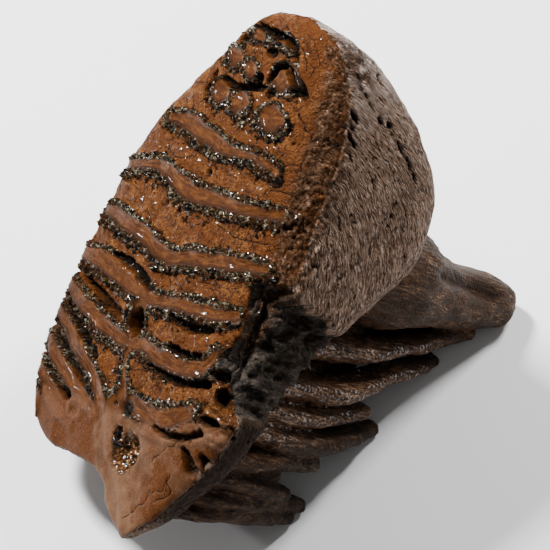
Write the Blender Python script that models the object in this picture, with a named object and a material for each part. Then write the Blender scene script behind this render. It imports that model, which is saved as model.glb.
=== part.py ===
"""Fossil mammoth molar: one piece of dentine, enamel and cementum, resting on the ends of its roots.

The tooth is drawn in its own axes, in millimetres, and turned at the end into the way it rests:
    L  along the chewing face, from the back end (0) to the worn front tip
    H  from the chewing face (0) down into the roots
    W  across the tooth: the near flank is on the + side, the far flank on the - side
"""

import math

import bmesh
import bpy
import numpy as np
from mathutils import Matrix, Vector, noise

MM = 0.001

# ---------------------------------------------------------------- driving dimensions, mm
# Cross-sections of the crown: L, then H of the chewing face and of the crown base,
# then W of the far flank and of the near flank.
CROWN_SECTIONS = (
    (0.0, 1.0, 8.0, -22.0, -6.0),
    (4.0, -1.0, 19.0, -29.0, 5.0),
    (10.0, -1.0, 31.0, -36.0, 10.0),
    (20.0, 0.0, 47.0, -46.0, 14.0),
    (30.0, 0.0, 59.0, -56.0, 16.0),
    (40.0, 1.0, 67.0, -66.0, 17.0),
    (50.0, 1.0, 70.0, -72.0, 17.0),
    (66.0, 2.0, 68.0, -79.0, 16.0),
    (80.0, 3.0, 57.0, -83.0, 15.0),
    (95.0, 3.0, 46.0, -85.0, 13.0),
    (112.0, 3.0, 36.0, -87.0, 12.0),
    (128.0, 3.0, 28.0, -87.0, 11.0),
    (140.0, 4.0, 24.0, -86.0, 7.0),
    (147.0, 4.0, 22.5, -83.0, 3.5),
    (153.0, 4.5, 21.0, -78.0, -0.5),
    (156.4, 5.0, 20.0, -69.0, -2.8),
    (157.6, 5.0, 19.5, -48.0, -3.8),
    (162.0, 5.0, 18.0, -38.0, -6.6),
    (166.5, 5.0, 15.5, -34.8, -10.0),
    (170.8, 5.0, 12.5, -30.0, -14.6),
    (174.0, 5.5, 10.5, -25.4, -18.0),
    (176.0, 6.5, 9.0, -22.4, -20.2),
)
SQUARENESS = 4.0  # exponent of the sections' superellipse
FAR_SQUARENESS = 9.0  # the same at the sharp corner between the chewing face and the far flank
CROWN_RINGS = 90
RING_POINTS = 64

# Root fingers along the near side: each is its centre line as (L, H, W) with half its
# thickness along L and half its width along W at each point.
NEAR_ROOTS = {
    "back": ((66, 40, -24, 18, 30), (67, 62, -22, 21, 28), (68.5, 80, -20, 19, 25), (69.5, 92, -20, 15, 21),
             (69.5, 103, -20, 12.5, 17), (69, 113, -20, 11.3, 14), (67.5, 125, -19, 10.5, 11.5),
             (66.5, 134.5, -18, 8.5, 9)),
    "n1": ((101, 30, -16, 5, 20), (99, 46, -14, 4.8, 14), (96, 72, -14, 4.4, 10), (91, 93, -17, 3.7, 8),
           (84.8, 114, -21, 3.5, 6), (78.5, 130, -23, 3.2, 5.5)),
    "n2": ((114, 24, -16, 5.4, 20), (113.5, 37, -14, 5, 16), (112, 61, -13, 4.5, 11), (108.5, 77, -15, 4.1, 9),
           (101.5, 94, -19, 3.6, 7), (97, 108, -22, 3.2, 6), (92, 122, -26, 2.7, 5)),
    "n3": ((122, 20, -16, 4.2, 18), (122.5, 36, -14, 4.2, 14), (122, 55, -13, 3.9, 10),
           (119, 73.5, -16, 3.4, 8), (115.5, 89, -19, 2.8, 6)),
    "n4": ((130, 18, -14, 5, 18), (130.5, 34, -13, 5, 13), (131.5, 49, -13, 4.9, 11),
           (130, 68, -16, 4.5, 9), (126, 85, -20, 4, 7), (121, 101, -25, 3.3, 5.5)),
    "n5": ((141, 14, -14, 4.2, 16), (141, 30, -13, 4.2, 13), (138.5, 47, -13, 3.8, 10), (137, 72, -18, 3.2, 6)),
    "n5b": ((144, 14, -16, 3, 12), (144, 56, -17, 2.6, 5)),
    "n6": ((148, 12, -14, 3.5, 14), (148, 29, -13, 3.5, 12), (148.5, 45, -14, 3.4, 9), (149, 64, -18, 3, 6)),
    "n7": ((155, 10, -18, 3.5, 12), (155, 30, -16, 3.4, 11), (153, 56, -19, 3.2, 8), (152, 79, -25, 2.8, 5.5)),
    "n8": ((163, 8, -20, 4, 8), (160.5, 28, -17, 3.6, 10), (158.5, 50, -19, 3.4, 8), (157, 76, -25, 2.8, 5.5)),
}
# The same along the far side, shorter because the tooth leans that way.
FAR_ROOTS = {
    "f0": ((56, 40, -58, 10, 12), (56, 64, -63, 8.5, 9), (55, 86, -69, 6.5, 6.5), (54, 102, -74, 5, 5)),
    "f1": ((74, 40, -62, 8, 12), (74, 60, -67, 6.5, 8), (73, 76, -71, 5.5, 6.5), (72, 96, -76, 4.5, 5)),
    "f2": ((90, 36, -64, 6, 12), (89, 54, -69, 5.5, 8), (87, 86, -76, 4.4, 5)),
    "f3": ((104, 30, -66, 5, 12), (103, 46, -71, 4.6, 7), (100, 77, -77, 4.2, 5)),
    "f4": ((117, 26, -66, 5, 12), (116, 40, -71, 4.6, 7), (113, 68, -77, 4.2, 5)),
    "f5": ((130, 22, -66, 5, 11), (129, 34, -70, 4.6, 7), (126, 60, -76, 4.2, 5)),
    "f6": ((142, 20, -62, 4.6, 10), (142, 30, -66, 4.4, 7), (141, 54, -71, 4.2, 5)),
}
# The middle of each root plate, joining its near and far fingers close under the crown.
WEBS = (
    ((86, 40, -46, 8, 28), (87, 80, -47, 6, 20), (84, 97, -48, 5, 13)),
    ((104, 32, -46, 7, 28), (103, 68, -47, 6, 20), (98, 85, -48, 5, 13)),
    ((117, 26, -46, 6, 28), (117, 58, -47, 4, 19), (113, 75, -48, 4, 12)),
    ((126, 24, -46, 6, 26), (126, 50, -47, 4, 18), (122, 68, -48, 3.5, 12)),
    ((136, 20, -46, 6, 24), (135, 44, -47, 4, 17), (132, 62, -49, 3.5, 11)),
    ((146, 18, -42, 6, 20), (146, 38, -46, 4, 14), (144, 54, -48, 3.5, 9)),
    ((92, 40, -32, 6, 24), (91, 70, -34, 6, 17), (88, 92, -35, 6, 10), (84, 106, -33, 5, 7), (80, 118, -30, 4, 6)),
    ((108, 34, -30, 6, 22), (107.5, 58, -32, 6, 16), (104, 76, -34, 5.5, 9), (101, 88, -33, 4.5, 6)),
    ((118.5, 28, -28, 5, 20), (119, 50, -28, 5, 14), (118.5, 66, -28, 4.5, 9), (117, 76, -27, 4, 6)),
    ((136, 22, -28, 5, 18), (135.5, 40, -28, 5, 13), (134.5, 55, -28, 4.5, 8), (133.5, 63, -27, 4, 6)),
    ((146, 18, -28, 5, 16), (146, 34, -28, 4.5, 12), (145, 48, -28, 4, 7)),
)


# Enamel plates worn open on the chewing face: the middle line of each plate's dentine as
# (L, W, half the dentine's thickness).
PLATES = (
    ((42, -57, 1.2), (42, -47, 2.8), (44, -39, 3.0), (46, -30, 2.6), (47.5, -22, 1.8), (47, -14, 1.2),
     (48, -8, 1.6), (50, -1, 1.6)),
    ((61, -74, 1.4), (59, -63, 1.8), (58, -56, 2.0), (59, -49, 2.4), (61.5, -43, 3.0), (63.5, -36, 3.0),
     (63.7, -28, 2.6), (63.7, -14, 2.2), (63.5, -4, 2.2), (62.4, 5, 1.6)),
    ((76.5, -78, 1.8), (79, -64, 2.8), (80.5, -57, 2.8), (82, -51, 2.6), (84, -45, 2.4), (85.5, -38, 2.4),
     (84, -29, 2.5), (82.6, -18, 2.6), (81.4, -8, 2.4), (80.5, 1, 1.8), (80, 5, 1.2)),
    ((93, -81, 1.8), (94, -68, 3.2), (96, -57, 3.2), (99, -48, 2.6), (100.5, -41, 2.2), (99.5, -29, 2.2),
     (98.7, -18, 2.4), (98, -7, 2.2), (96.5, 0, 1.6)),
    ((104, -83, 1.6), (109, -72, 2.4), (112.5, -62, 2.6), (115, -52, 2.4), (116, -44, 2.0), (115.5, -37, 2.2),
     (116.5, -30, 2.6), (117.7, -22, 2.8), (117, -13, 2.8), (115, -6, 2.6), (110, -3, 1.6)),
    ((113.5, -84, 1.6), (119.5, -72, 2.2), (122, -65, 2.2), (125, -59, 2.0), (128, -53, 1.6)),
    ((124, -84, 1.6), (130, -72, 2.2), (132.5, -64, 2.4), (135, -56, 1.8), (138, -50, 1.0)),
    ((134, -85, 1.6), (140, -75, 2.0), (144, -67, 2.2), (147, -59, 1.6), (150, -52, 1.0)),
    ((126, -26, 1.4), (129, -18, 2.2), (129, -9, 2.2), (126, -4, 1.6)),
    ((125, 0, 2.2), (129, 6, 3.0), (133, 12, 2.2)),
)
# Single cones of the back end, not yet worn into plates: L, W, half sizes along L and along W.
RINGS = (
    (9, -24, 2.6, 4.0), (9.5, -12.5, 2.4, 5.0), (17.3, -33.3, 2.6, 3.0), (20.6, -24.6, 2.2, 2.6),
    (20.5, -8, 3.2, 4.2), (30, -35, 3.0, 3.4), (31.5, -24.5, 2.6, 3.6), (34, -8.5, 3.4, 5.6),
    (121.7, -50.5, 4.2, 2.6),
)
ENAMEL = 2.6  # thickness of the enamel round a plate
ENAMEL_RISE = 1.7  # enamel stands this far proud of the dentine and the cement
PLATE_RIBS = (44, 61, 77, 93, 104, 114, 125, 135)  # L of the plates where they reach the far flank
# Hollows in the chewing face: L, W, half sizes along L and along W, depth.
PITS = (
    (147, -26, 7.0, 4.5, 5.0), (109, -43.5, 4.0, 3.5, 4.0), (94.5, -49, 3.0, 7.0, 3.0),
    (18.5, 1.5, 2.5, 5.5, 3.0), (121, 3, 4.0, 5.0, 4.0), (147, 4, 4.5, 3.0, 2.5), (139, -66, 2.5, 2.5, 2.0),
)
RECESS = (84.0, 126.0)  # along L, where the cement has come off the near flank
RECESS_EDGE = 1.0  # W from which it has come off
RECESS_SHARE = 0.55  # share of the cement's thickness that is gone

# Resting attitude: the ground's upward direction in tooth axes, and how far along it the chewing
# face's origin stands above the ground.
UP = Vector((-0.475, -0.702, 0.527)).normalized()
GROUND_DROP = 143.0
VOXEL = 1.5
TRIANGLES = 9600


def catmull_rom(rows, t):
    """The rows of a table, as a smooth curve through them, at parameter t (0 is the first row)."""
    rows = np.asarray(rows, float)
    k = min(int(t), len(rows) - 2)
    f = t - k
    p0, p1, p2, p3 = (rows[min(max(k + i, 0), len(rows) - 1)] for i in (-1, 0, 1, 2))
    return 0.5 * (2 * p1 + (p2 - p0) * f + (2 * p0 - 5 * p1 + 4 * p2 - p3) * f**2
                  + (3 * p1 - p0 - 3 * p2 + p3) * f**3)


def superellipse(half_u, half_v, squareness, count, corner=None):
    """Points (u, v) round a rounded rectangle. The corner on both minus sides may be sharper."""
    angle = np.linspace(0, 2 * math.pi, count, endpoint=False)
    c, s = np.cos(angle), np.sin(angle)
    power = 2 / squareness
    if corner is not None:
        power = 2 / (squareness + (corner - squareness) * 2 * np.clip(-c, 0, 1) * np.clip(-s, 0, 1))
    return np.stack([half_u * np.sign(c) * abs(c) ** power, half_v * np.sign(s) * abs(s) ** power], 1)


def loft(mesh, rings):
    """Adds one closed skin through the rings, which all have the same number of points, to the bmesh."""
    loops = [[mesh.verts.new(p) for p in ring] for ring in rings]
    count = len(loops[0])
    for a, b in zip(loops, loops[1:]):
        for i in range(count):
            j = (i + 1) % count
            mesh.faces.new((a[i], a[j], b[j], b[i]))
    mesh.faces.new(loops[0][::-1])
    mesh.faces.new(loops[-1])


def crown_rings():
    rings = []
    stations = len(CROWN_SECTIONS) - 1
    for t in np.linspace(0, stations, CROWN_RINGS):
        along, top, base, far, near = catmull_rom(CROWN_SECTIONS, t)
        outline = superellipse((base - top) / 2, (near - far) / 2, SQUARENESS, RING_POINTS, FAR_SQUARENESS)
        rings.append([Vector((along, (base + top) / 2 + h, (near + far) / 2 + w)) for h, w in outline])
    return rings


def root_rings(line):
    rings = []
    for t in np.linspace(0, len(line) - 1, 8 * len(line)):
        along, deep, across, half_l, half_w = catmull_rom(line, t)
        outline = superellipse(half_l, half_w, 2.4, 32)
        rings.append([Vector((along + u, deep, across + v)) for u, v in outline])
    # a rounded end
    along, deep, across, half_l, half_w = line[-1]
    for k in (1, 2, 3):
        shrink = math.cos(k * math.pi / 7)
        outline = superellipse(half_l * shrink, half_w * shrink, 2.4, 32)
        drop = half_l * math.sin(k * math.pi / 7)
        rings.append([Vector((along + u, deep + drop, across + v)) for u, v in outline])
    return rings


def smoothstep(low, high, value):
    x = np.clip((value - low) / (high - low), 0.0, 1.0)
    return x * x * (3.0 - 2.0 * x)


def plate_distance(along, across):
    """Distance from each point to the nearest plate's dentine, negative inside it."""
    nearest = np.full(along.shape, 99.0)
    for plate in PLATES:
        line = np.array([catmull_rom(plate, t) for t in np.linspace(0, len(plate) - 1, 4 * len(plate))])
        for a, b in zip(line, line[1:]):
            span = b[:2] - a[:2]
            t = ((along - a[0]) * span[0] + (across - a[1]) * span[1]) / (span @ span)
            t = np.clip(t, 0.0, 1.0)
            gap = np.hypot(along - a[0] - t * span[0], across - a[1] - t * span[1])
            nearest = np.minimum(nearest, gap - (a[2] + t * (b[2] - a[2])))
    for l, w, half_l, half_w in RINGS:
        reach = np.hypot((along - l) / half_l, (across - w) / half_w)
        nearest = np.minimum(nearest, (reach - 1.0) * min(half_l, half_w))
    return nearest


def chewing_relief(along, across):
    """Height of the worn face: enamel loops proud, dentine and cement hollowed between them."""
    gap = plate_distance(along, across)
    crest = np.exp(-((gap - 0.5 * ENAMEL) / (0.55 * ENAMEL)) ** 2)
    height = ENAMEL_RISE * crest - 0.6 * smoothstep(0.0, -2.0, gap) - 0.5 * smoothstep(ENAMEL, 7.0, gap)
    for l, w, half_l, half_w, depth in PITS:
        reach = np.hypot((along - l) / half_l, (across - w) / half_w)
        height -= depth * smoothstep(1.15, 0.35, reach)
    return height


def carve(points, normals):
    """Displaces the plain body's surface into the tooth's relief."""
    along, deep, across = points.T
    lump = np.array([noise.noise(Vector(p) * 0.07) for p in points])
    grain = np.array([noise.noise(Vector((p[0] * 0.28, p[1] * 0.04, p[2] * 0.18))) for p in points])
    up = smoothstep(0.3, 0.75, -normals[:, 1]) * smoothstep(14.0, 9.0, deep)
    far = smoothstep(0.25, 0.8, -normals[:, 2]) * smoothstep(-50.0, -60.0, across)
    crown = smoothstep(34.0, 20.0, deep)
    ribs = sum(np.exp(-((along - 0.04 * deep - at) / 3.0) ** 2) for at in PLATE_RIBS)
    shift = up * chewing_relief(along, across)
    shift += far * crown * (2.0 * ribs - 0.8) + 0.9 * lump
    shift += (1.0 - up) * (1.0 - crown) * 0.9 * grain
    moved = points + normals * shift[:, None]
    bare = smoothstep(RECESS[0] - 3, RECESS[0] + 3, along) * smoothstep(RECESS[1] + 3, RECESS[1] - 3, along)
    moved[:, 2] -= bare * RECESS_SHARE * np.clip(across - RECESS_EDGE, 0.0, None) * (1.0 - 0.5 * abs(lump))
    return moved


def tooth_body():
    mesh = bmesh.new()
    loft(mesh, crown_rings())
    for line in (*NEAR_ROOTS.values(), *FAR_ROOTS.values(), *WEBS):
        loft(mesh, root_rings(line))
    data = bpy.data.meshes.new("mammoth_tooth")
    mesh.to_mesh(data)
    mesh.free()
    body = bpy.data.objects.new("mammoth_tooth", data)
    bpy.context.scene.collection.objects.link(body)
    return body


def apply_modifiers(body):
    graph = bpy.context.evaluated_depsgraph_get()
    done = bpy.data.meshes.new_from_object(body.evaluated_get(graph))
    body.modifiers.clear()
    body.data = done


def fuse(body):
    """One closed skin from the overlapping crown and roots."""
    skin = body.modifiers.new("skin", "REMESH")
    skin.mode = "VOXEL"
    skin.voxel_size = VOXEL
    ease = body.modifiers.new("ease", "SMOOTH")
    ease.factor = 0.5
    ease.iterations = 3
    apply_modifiers(body)


def displace(body):
    count = len(body.data.vertices)
    points = np.empty(count * 3)
    normals = np.empty(count * 3)
    body.data.vertices.foreach_get("co", points)
    body.data.vertex_normals.foreach_get("vector", normals)
    moved = carve(points.reshape(-1, 3), normals.reshape(-1, 3))
    body.data.vertices.foreach_set("co", moved.ravel())
    body.data.update()


def reduce(body):
    """Fewer, larger facets, with one skin again."""
    skin = body.modifiers.new("skin", "REMESH")
    skin.mode = "VOXEL"
    skin.voxel_size = VOXEL
    body.data.calc_loop_triangles()
    apply_modifiers(body)
    body.data.calc_loop_triangles()
    fewer = body.modifiers.new("fewer", "DECIMATE")
    fewer.ratio = TRIANGLES / len(body.data.loop_triangles)
    apply_modifiers(body)


def rest(body):
    """Turns the tooth into its resting attitude, in metres, on flats at z = 0."""
    side = Vector((-0.31, 0.694, 0.646))
    right = (side - side.dot(UP) * UP).normalized()
    back = UP.cross(right)
    turn = Matrix((right, back, UP))
    mesh = bmesh.new()
    mesh.from_mesh(body.data)
    for vert in mesh.verts:
        vert.co = turn @ vert.co
        vert.co.z += GROUND_DROP
    geometry = mesh.verts[:] + mesh.edges[:] + mesh.faces[:]
    cut = bmesh.ops.bisect_plane(mesh, geom=geometry, dist=0.01, plane_co=(0, 0, 0), plane_no=(0, 0, 1),
                                 clear_inner=True)
    rim = [e for e in cut["geom_cut"] if isinstance(e, bmesh.types.BMEdge)]
    bmesh.ops.holes_fill(mesh, edges=rim, sides=0)
    bmesh.ops.triangulate(mesh, faces=mesh.faces[:])
    x = [v.co.x for v in mesh.verts]
    y = [v.co.y for v in mesh.verts]
    middle = Vector(((min(x) + max(x)) / 2, (min(y) + max(y)) / 2, 0))
    for vert in mesh.verts:
        vert.co = (vert.co - middle) * MM
    bmesh.ops.recalc_face_normals(mesh, faces=mesh.faces[:])
    mesh.to_mesh(body.data)
    mesh.free()


def colour(body):
    material = bpy.data.materials.new("fossil_tooth")
    material.use_nodes = True
    shader = material.node_tree.nodes["Principled BSDF"]
    shader.inputs["Base Color"].default_value = (0.17, 0.075, 0.03, 1.0)
    shader.inputs["Roughness"].default_value = 0.45
    body.data.materials.clear()
    body.data.materials.append(material)


for item in list(bpy.data.objects):
    bpy.data.objects.remove(item)
tooth = tooth_body()
fuse(tooth)
displace(tooth)
reduce(tooth)
rest(tooth)
colour(tooth)
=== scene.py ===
# %% [markdown]
# # A fossil mammoth molar
# The tooth lies on the ends of its roots with its worn chewing face turned up. This lesson builds
# its visible surface around the packed solid: first the camera, then the plain body, then the worn
# plates and pits that are carved into it, and last the mineral finishes.

# %% The packed solid
import math

import bmesh
import bpy
import numpy as np
from mathutils import Matrix, Vector


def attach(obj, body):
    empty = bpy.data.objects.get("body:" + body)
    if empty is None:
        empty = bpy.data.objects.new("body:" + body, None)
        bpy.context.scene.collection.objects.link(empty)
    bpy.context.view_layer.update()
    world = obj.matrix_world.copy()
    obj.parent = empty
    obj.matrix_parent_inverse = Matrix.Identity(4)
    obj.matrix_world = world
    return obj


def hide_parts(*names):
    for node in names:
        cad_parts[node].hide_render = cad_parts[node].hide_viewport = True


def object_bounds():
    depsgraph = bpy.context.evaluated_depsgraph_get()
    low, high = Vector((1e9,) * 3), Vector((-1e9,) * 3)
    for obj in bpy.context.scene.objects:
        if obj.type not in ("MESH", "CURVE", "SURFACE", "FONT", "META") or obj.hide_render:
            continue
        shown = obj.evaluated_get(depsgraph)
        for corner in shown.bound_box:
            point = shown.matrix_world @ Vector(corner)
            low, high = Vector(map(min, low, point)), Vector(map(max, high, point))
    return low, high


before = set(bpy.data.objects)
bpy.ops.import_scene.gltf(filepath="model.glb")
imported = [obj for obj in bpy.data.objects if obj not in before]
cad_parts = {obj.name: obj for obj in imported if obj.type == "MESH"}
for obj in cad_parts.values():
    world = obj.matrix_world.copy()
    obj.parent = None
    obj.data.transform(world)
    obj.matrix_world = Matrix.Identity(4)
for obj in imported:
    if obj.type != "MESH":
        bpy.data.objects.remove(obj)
cad_box = [[float(value) for value in corner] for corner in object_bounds()]
bpy.ops.object.select_all(action="DESELECT")
print("solid fills", cad_box)

# %% [markdown]
# The camera comes first, so that every later step can be judged through it. It is a long lens, a
# little under a metre away, that looks down at 60 degrees.

# %% Camera
CAMERA_PLACE = (-0.0020, -0.4382, 0.8428)
CAMERA_TILT = math.radians(30.0)  # from looking straight down
LENS_MM, SENSOR_MM = 179.0, 36.0

bpy.ops.object.camera_add(location=CAMERA_PLACE, rotation=(CAMERA_TILT, 0.0, 0.0))
camera = bpy.context.object
camera.data.lens = LENS_MM
camera.data.sensor_width = SENSOR_MM
camera.data.clip_end = 20.0
bpy.context.scene.camera = camera
print("camera at", tuple(camera.location))

# %% [markdown]
# A tooth is easiest to draw in its own axes, in millimetres: L along the chewing face from the back
# end to the worn front tip, H from the chewing face down into the roots, and W across the crown,
# with the near flank on the plus side. One matrix then lays it down the way it rests.

# %% The tooth's own axes
MM = 0.001
UP = Vector((-0.475, -0.702, 0.527)).normalized()
SIDE = Vector((-0.31, 0.694, 0.646))
RIGHT = (SIDE - SIDE.dot(UP) * UP).normalized()
REST = Matrix((RIGHT, UP.cross(RIGHT), UP))
REST_SHIFT = Vector((12.567, 58.105, 143.0))
LAY_DOWN = Matrix.Translation(REST_SHIFT * MM) @ Matrix.Scale(MM, 4) @ REST.to_4x4()
print("one millimetre of L points to", tuple(REST @ Vector((1, 0, 0))))

# %% [markdown]
# The crown is a tapering loaf: its rounded-rectangle sections change from a narrow back end to a
# deep, wide middle and a thin front tip. A table of sections and a smooth curve through them keep
# the shape easy to change.

# %% Crown sections
# L, then H of the chewing face and of the crown base, then W of the far and of the near flank
CROWN = np.array((
    (0.0, 1.0, 8.0, -22.0, -6.0),
    (4.0, -1.0, 19.0, -29.0, 5.0),
    (10.0, -1.0, 31.0, -36.0, 10.0),
    (20.0, 0.0, 47.0, -46.0, 14.0),
    (30.0, 0.0, 59.0, -56.0, 16.0),
    (40.0, 1.0, 67.0, -66.0, 17.0),
    (50.0, 1.0, 70.0, -72.0, 17.0),
    (66.0, 2.0, 68.0, -79.0, 16.0),
    (80.0, 3.0, 57.0, -83.0, 15.0),
    (95.0, 3.0, 46.0, -85.0, 13.0),
    (112.0, 3.0, 36.0, -87.0, 12.0),
    (128.0, 3.0, 28.0, -87.0, 11.0),
    (140.0, 4.0, 24.0, -86.0, 7.0),
    (147.0, 4.0, 22.5, -83.0, 3.5),
    (153.0, 4.5, 21.0, -78.0, -0.5),
    (156.4, 5.0, 20.0, -69.0, -2.8),
    (157.6, 5.0, 19.5, -48.0, -3.8),
    (162.0, 5.0, 18.0, -38.0, -6.6),
    (166.5, 5.0, 15.5, -34.8, -10.0),
    (170.8, 5.0, 12.5, -30.0, -14.6),
    (174.0, 5.5, 10.5, -25.4, -18.0),
    (176.0, 6.5, 9.0, -22.4, -20.2),
))
SQUARENESS, FAR_CORNER = 4.0, 5.0  # of a section, and how much squarer its far corner is


def curve_through(rows, t):
    """Catmull-Rom curve through the rows of a table, at parameters t from 0 to 1."""
    rows = np.asarray(rows, float)
    place = np.clip(np.asarray(t, float), 0, 1) * (len(rows) - 1)
    k = np.minimum(place.astype(int), len(rows) - 2)
    f = (place - k)[..., None]
    a, b, c, d = (rows[np.clip(k + i, 0, len(rows) - 1)] for i in (-1, 0, 1, 2))
    return 0.5 * (2 * b + (c - a) * f + (2 * a - 5 * b + 4 * c - d) * f**2 + (3 * b - a - 3 * c + d) * f**3)


def rounded(angle, squareness, corner=0.0):
    """Unit rounded rectangle: u and v for each angle. The corner on both minus sides may be sharper."""
    c, s = np.cos(angle), np.sin(angle)
    power = 2 / (squareness + corner * 2 * np.clip(-c, 0, 1) * np.clip(-s, 0, 1))
    return np.sign(c) * abs(c) ** power, np.sign(s) * abs(s) ** power


def crown_shape(t, angle):
    along, top, base, far, near = curve_through(CROWN, t).T
    u, v = rounded(angle, SQUARENESS, FAR_CORNER)
    return np.stack([along, (base + top) / 2 + u * (base - top) / 2, (near + far) / 2 + v * (near - far) / 2], 1)


print(len(CROWN), "crown sections")


# %% [markdown]
# A root finger is a flattened cone on a curved line. Its table holds, for each point of the line,
# its place (L, H, W) and half its thickness along L and along W.

# %% Root fingers
NEAR_ROOTS = {
    "back": ((66, 40, -24, 18, 30), (67, 62, -22, 21, 28), (68.5, 80, -20, 19, 25), (69.5, 92, -20, 15, 21),
             (69.5, 103, -20, 12.5, 17), (69, 113, -20, 11.3, 14), (67.5, 125, -19, 10.5, 11.5),
             (66.5, 134.5, -18, 8.5, 9)),
    "n1": ((101, 30, -16, 5, 20), (99, 46, -14, 4.8, 14), (96, 72, -14, 4.4, 10), (91, 93, -17, 3.7, 8),
           (84.8, 114, -21, 3.5, 6), (78.5, 130, -23, 3.2, 5.5)),
    "n2": ((114, 24, -16, 5.4, 20), (113.5, 37, -14, 5, 16), (112, 61, -13, 4.5, 11), (108.5, 77, -15, 4.1, 9),
           (101.5, 94, -19, 3.6, 7), (97, 108, -22, 3.2, 6), (92, 122, -26, 2.7, 5)),
    "n3": ((122, 20, -16, 4.2, 18), (122.5, 36, -14, 4.2, 14), (122, 55, -13, 3.9, 10),
           (119, 73.5, -16, 3.4, 8), (115.5, 89, -19, 2.8, 6)),
    "n4": ((130, 18, -14, 5, 18), (130.5, 34, -13, 5, 13), (131.5, 49, -13, 4.9, 11),
           (130, 68, -16, 4.5, 9), (126, 85, -20, 4, 7), (121, 101, -25, 3.3, 5.5)),
    "n5": ((141, 14, -14, 4.2, 16), (141, 30, -13, 4.2, 13), (138.5, 47, -13, 3.8, 10), (137, 72, -18, 3.2, 6)),
    "n5b": ((144, 14, -16, 3, 12), (144, 56, -17, 2.6, 5)),
    "n6": ((148, 12, -14, 3.5, 14), (148, 29, -13, 3.5, 12), (148.5, 45, -14, 3.4, 9), (149, 64, -18, 3, 6)),
    "n7": ((155, 10, -18, 3.5, 12), (155, 30, -16, 3.4, 11), (153, 56, -19, 3.2, 8), (152, 79, -25, 2.8, 5.5)),
    "n8": ((163, 8, -20, 4, 8), (160.5, 28, -17, 3.6, 10), (158.5, 50, -19, 3.4, 8), (157, 76, -25, 2.8, 5.5)),
}
FAR_ROOTS = {
    "f0": ((56, 40, -58, 10, 12), (56, 64, -63, 8.5, 9), (55, 86, -69, 6.5, 6.5), (54, 102, -74, 5, 5)),
    "f1": ((74, 40, -62, 8, 12), (74, 60, -67, 6.5, 8), (73, 76, -71, 5.5, 6.5), (72, 96, -76, 4.5, 5)),
    "f2": ((90, 36, -64, 6, 12), (89, 54, -69, 5.5, 8), (87, 86, -76, 4.4, 5)),
    "f3": ((104, 30, -66, 5, 12), (103, 46, -71, 4.6, 7), (100, 77, -77, 4.2, 5)),
    "f4": ((117, 26, -66, 5, 12), (116, 40, -71, 4.6, 7), (113, 68, -77, 4.2, 5)),
    "f5": ((130, 22, -66, 5, 11), (129, 34, -70, 4.6, 7), (126, 60, -76, 4.2, 5)),
    "f6": ((142, 20, -62, 4.6, 10), (142, 30, -66, 4.4, 7), (141, 54, -71, 4.2, 5)),
}
WEBS = {
    "w1": ((86, 40, -46, 8, 28), (87, 80, -47, 6, 20), (84, 97, -48, 5, 13)),
    "w2": ((104, 32, -46, 7, 28), (103, 68, -47, 6, 20), (98, 85, -48, 5, 13)),
    "w3": ((117, 26, -46, 6, 28), (117, 58, -47, 4, 19), (113, 75, -48, 4, 12)),
    "w4": ((126, 24, -46, 6, 26), (126, 50, -47, 4, 18), (122, 68, -48, 3.5, 12)),
    "w5": ((136, 20, -46, 6, 24), (135, 44, -47, 4, 17), (132, 62, -49, 3.5, 11)),
    "w6": ((146, 18, -42, 6, 20), (146, 38, -46, 4, 14), (144, 54, -48, 3.5, 9)),
    "w7": ((92, 40, -32, 6, 24), (91, 70, -34, 6, 17), (88, 92, -35, 6, 10), (84, 106, -33, 5, 7),
           (80, 118, -30, 4, 6)),
    "w8": ((108, 34, -30, 6, 22), (107.5, 58, -32, 6, 16), (104, 76, -34, 5.5, 9), (101, 88, -33, 4.5, 6)),
    "w9": ((118.5, 28, -28, 5, 20), (119, 50, -28, 5, 14), (118.5, 66, -28, 4.5, 9), (117, 76, -27, 4, 6)),
    "w10": ((136, 22, -28, 5, 18), (135.5, 40, -28, 5, 13), (134.5, 55, -28, 4.5, 8), (133.5, 63, -27, 4, 6)),
    "w11": ((146, 18, -28, 5, 16), (146, 34, -28, 4.5, 12), (145, 48, -28, 4, 7)),
}


ROOT_SQUARENESS = 2.4
END_START, END_ANGLE = 0.9, 1.35  # where the round end of a finger starts, and how far it closes, in radians


def root_shape(line):
    line = np.asarray(line, float)

    def shape(t, angle):
        """The last tenth of the primitive's length closes the finger in a round end."""
        along, deep, across, half_l, half_w = curve_through(line, t / END_START).T
        close = np.clip((t - END_START) / (1 - END_START), 0, 1) * END_ANGLE
        u, v = rounded(angle, ROOT_SQUARENESS)
        return np.stack([along + u * half_l * np.cos(close), deep + half_l * np.sin(close),
                         across + v * half_w * np.cos(close)], 1)

    return shape


print(len(NEAR_ROOTS) + len(FAR_ROOTS), "root fingers and", len(WEBS), "webs between them")


# %% [markdown]
# Every tube starts as a cylinder primitive. Its side is cut into rings in edit mode, and each point
# is then moved to where the shape's own function wants it.

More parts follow.
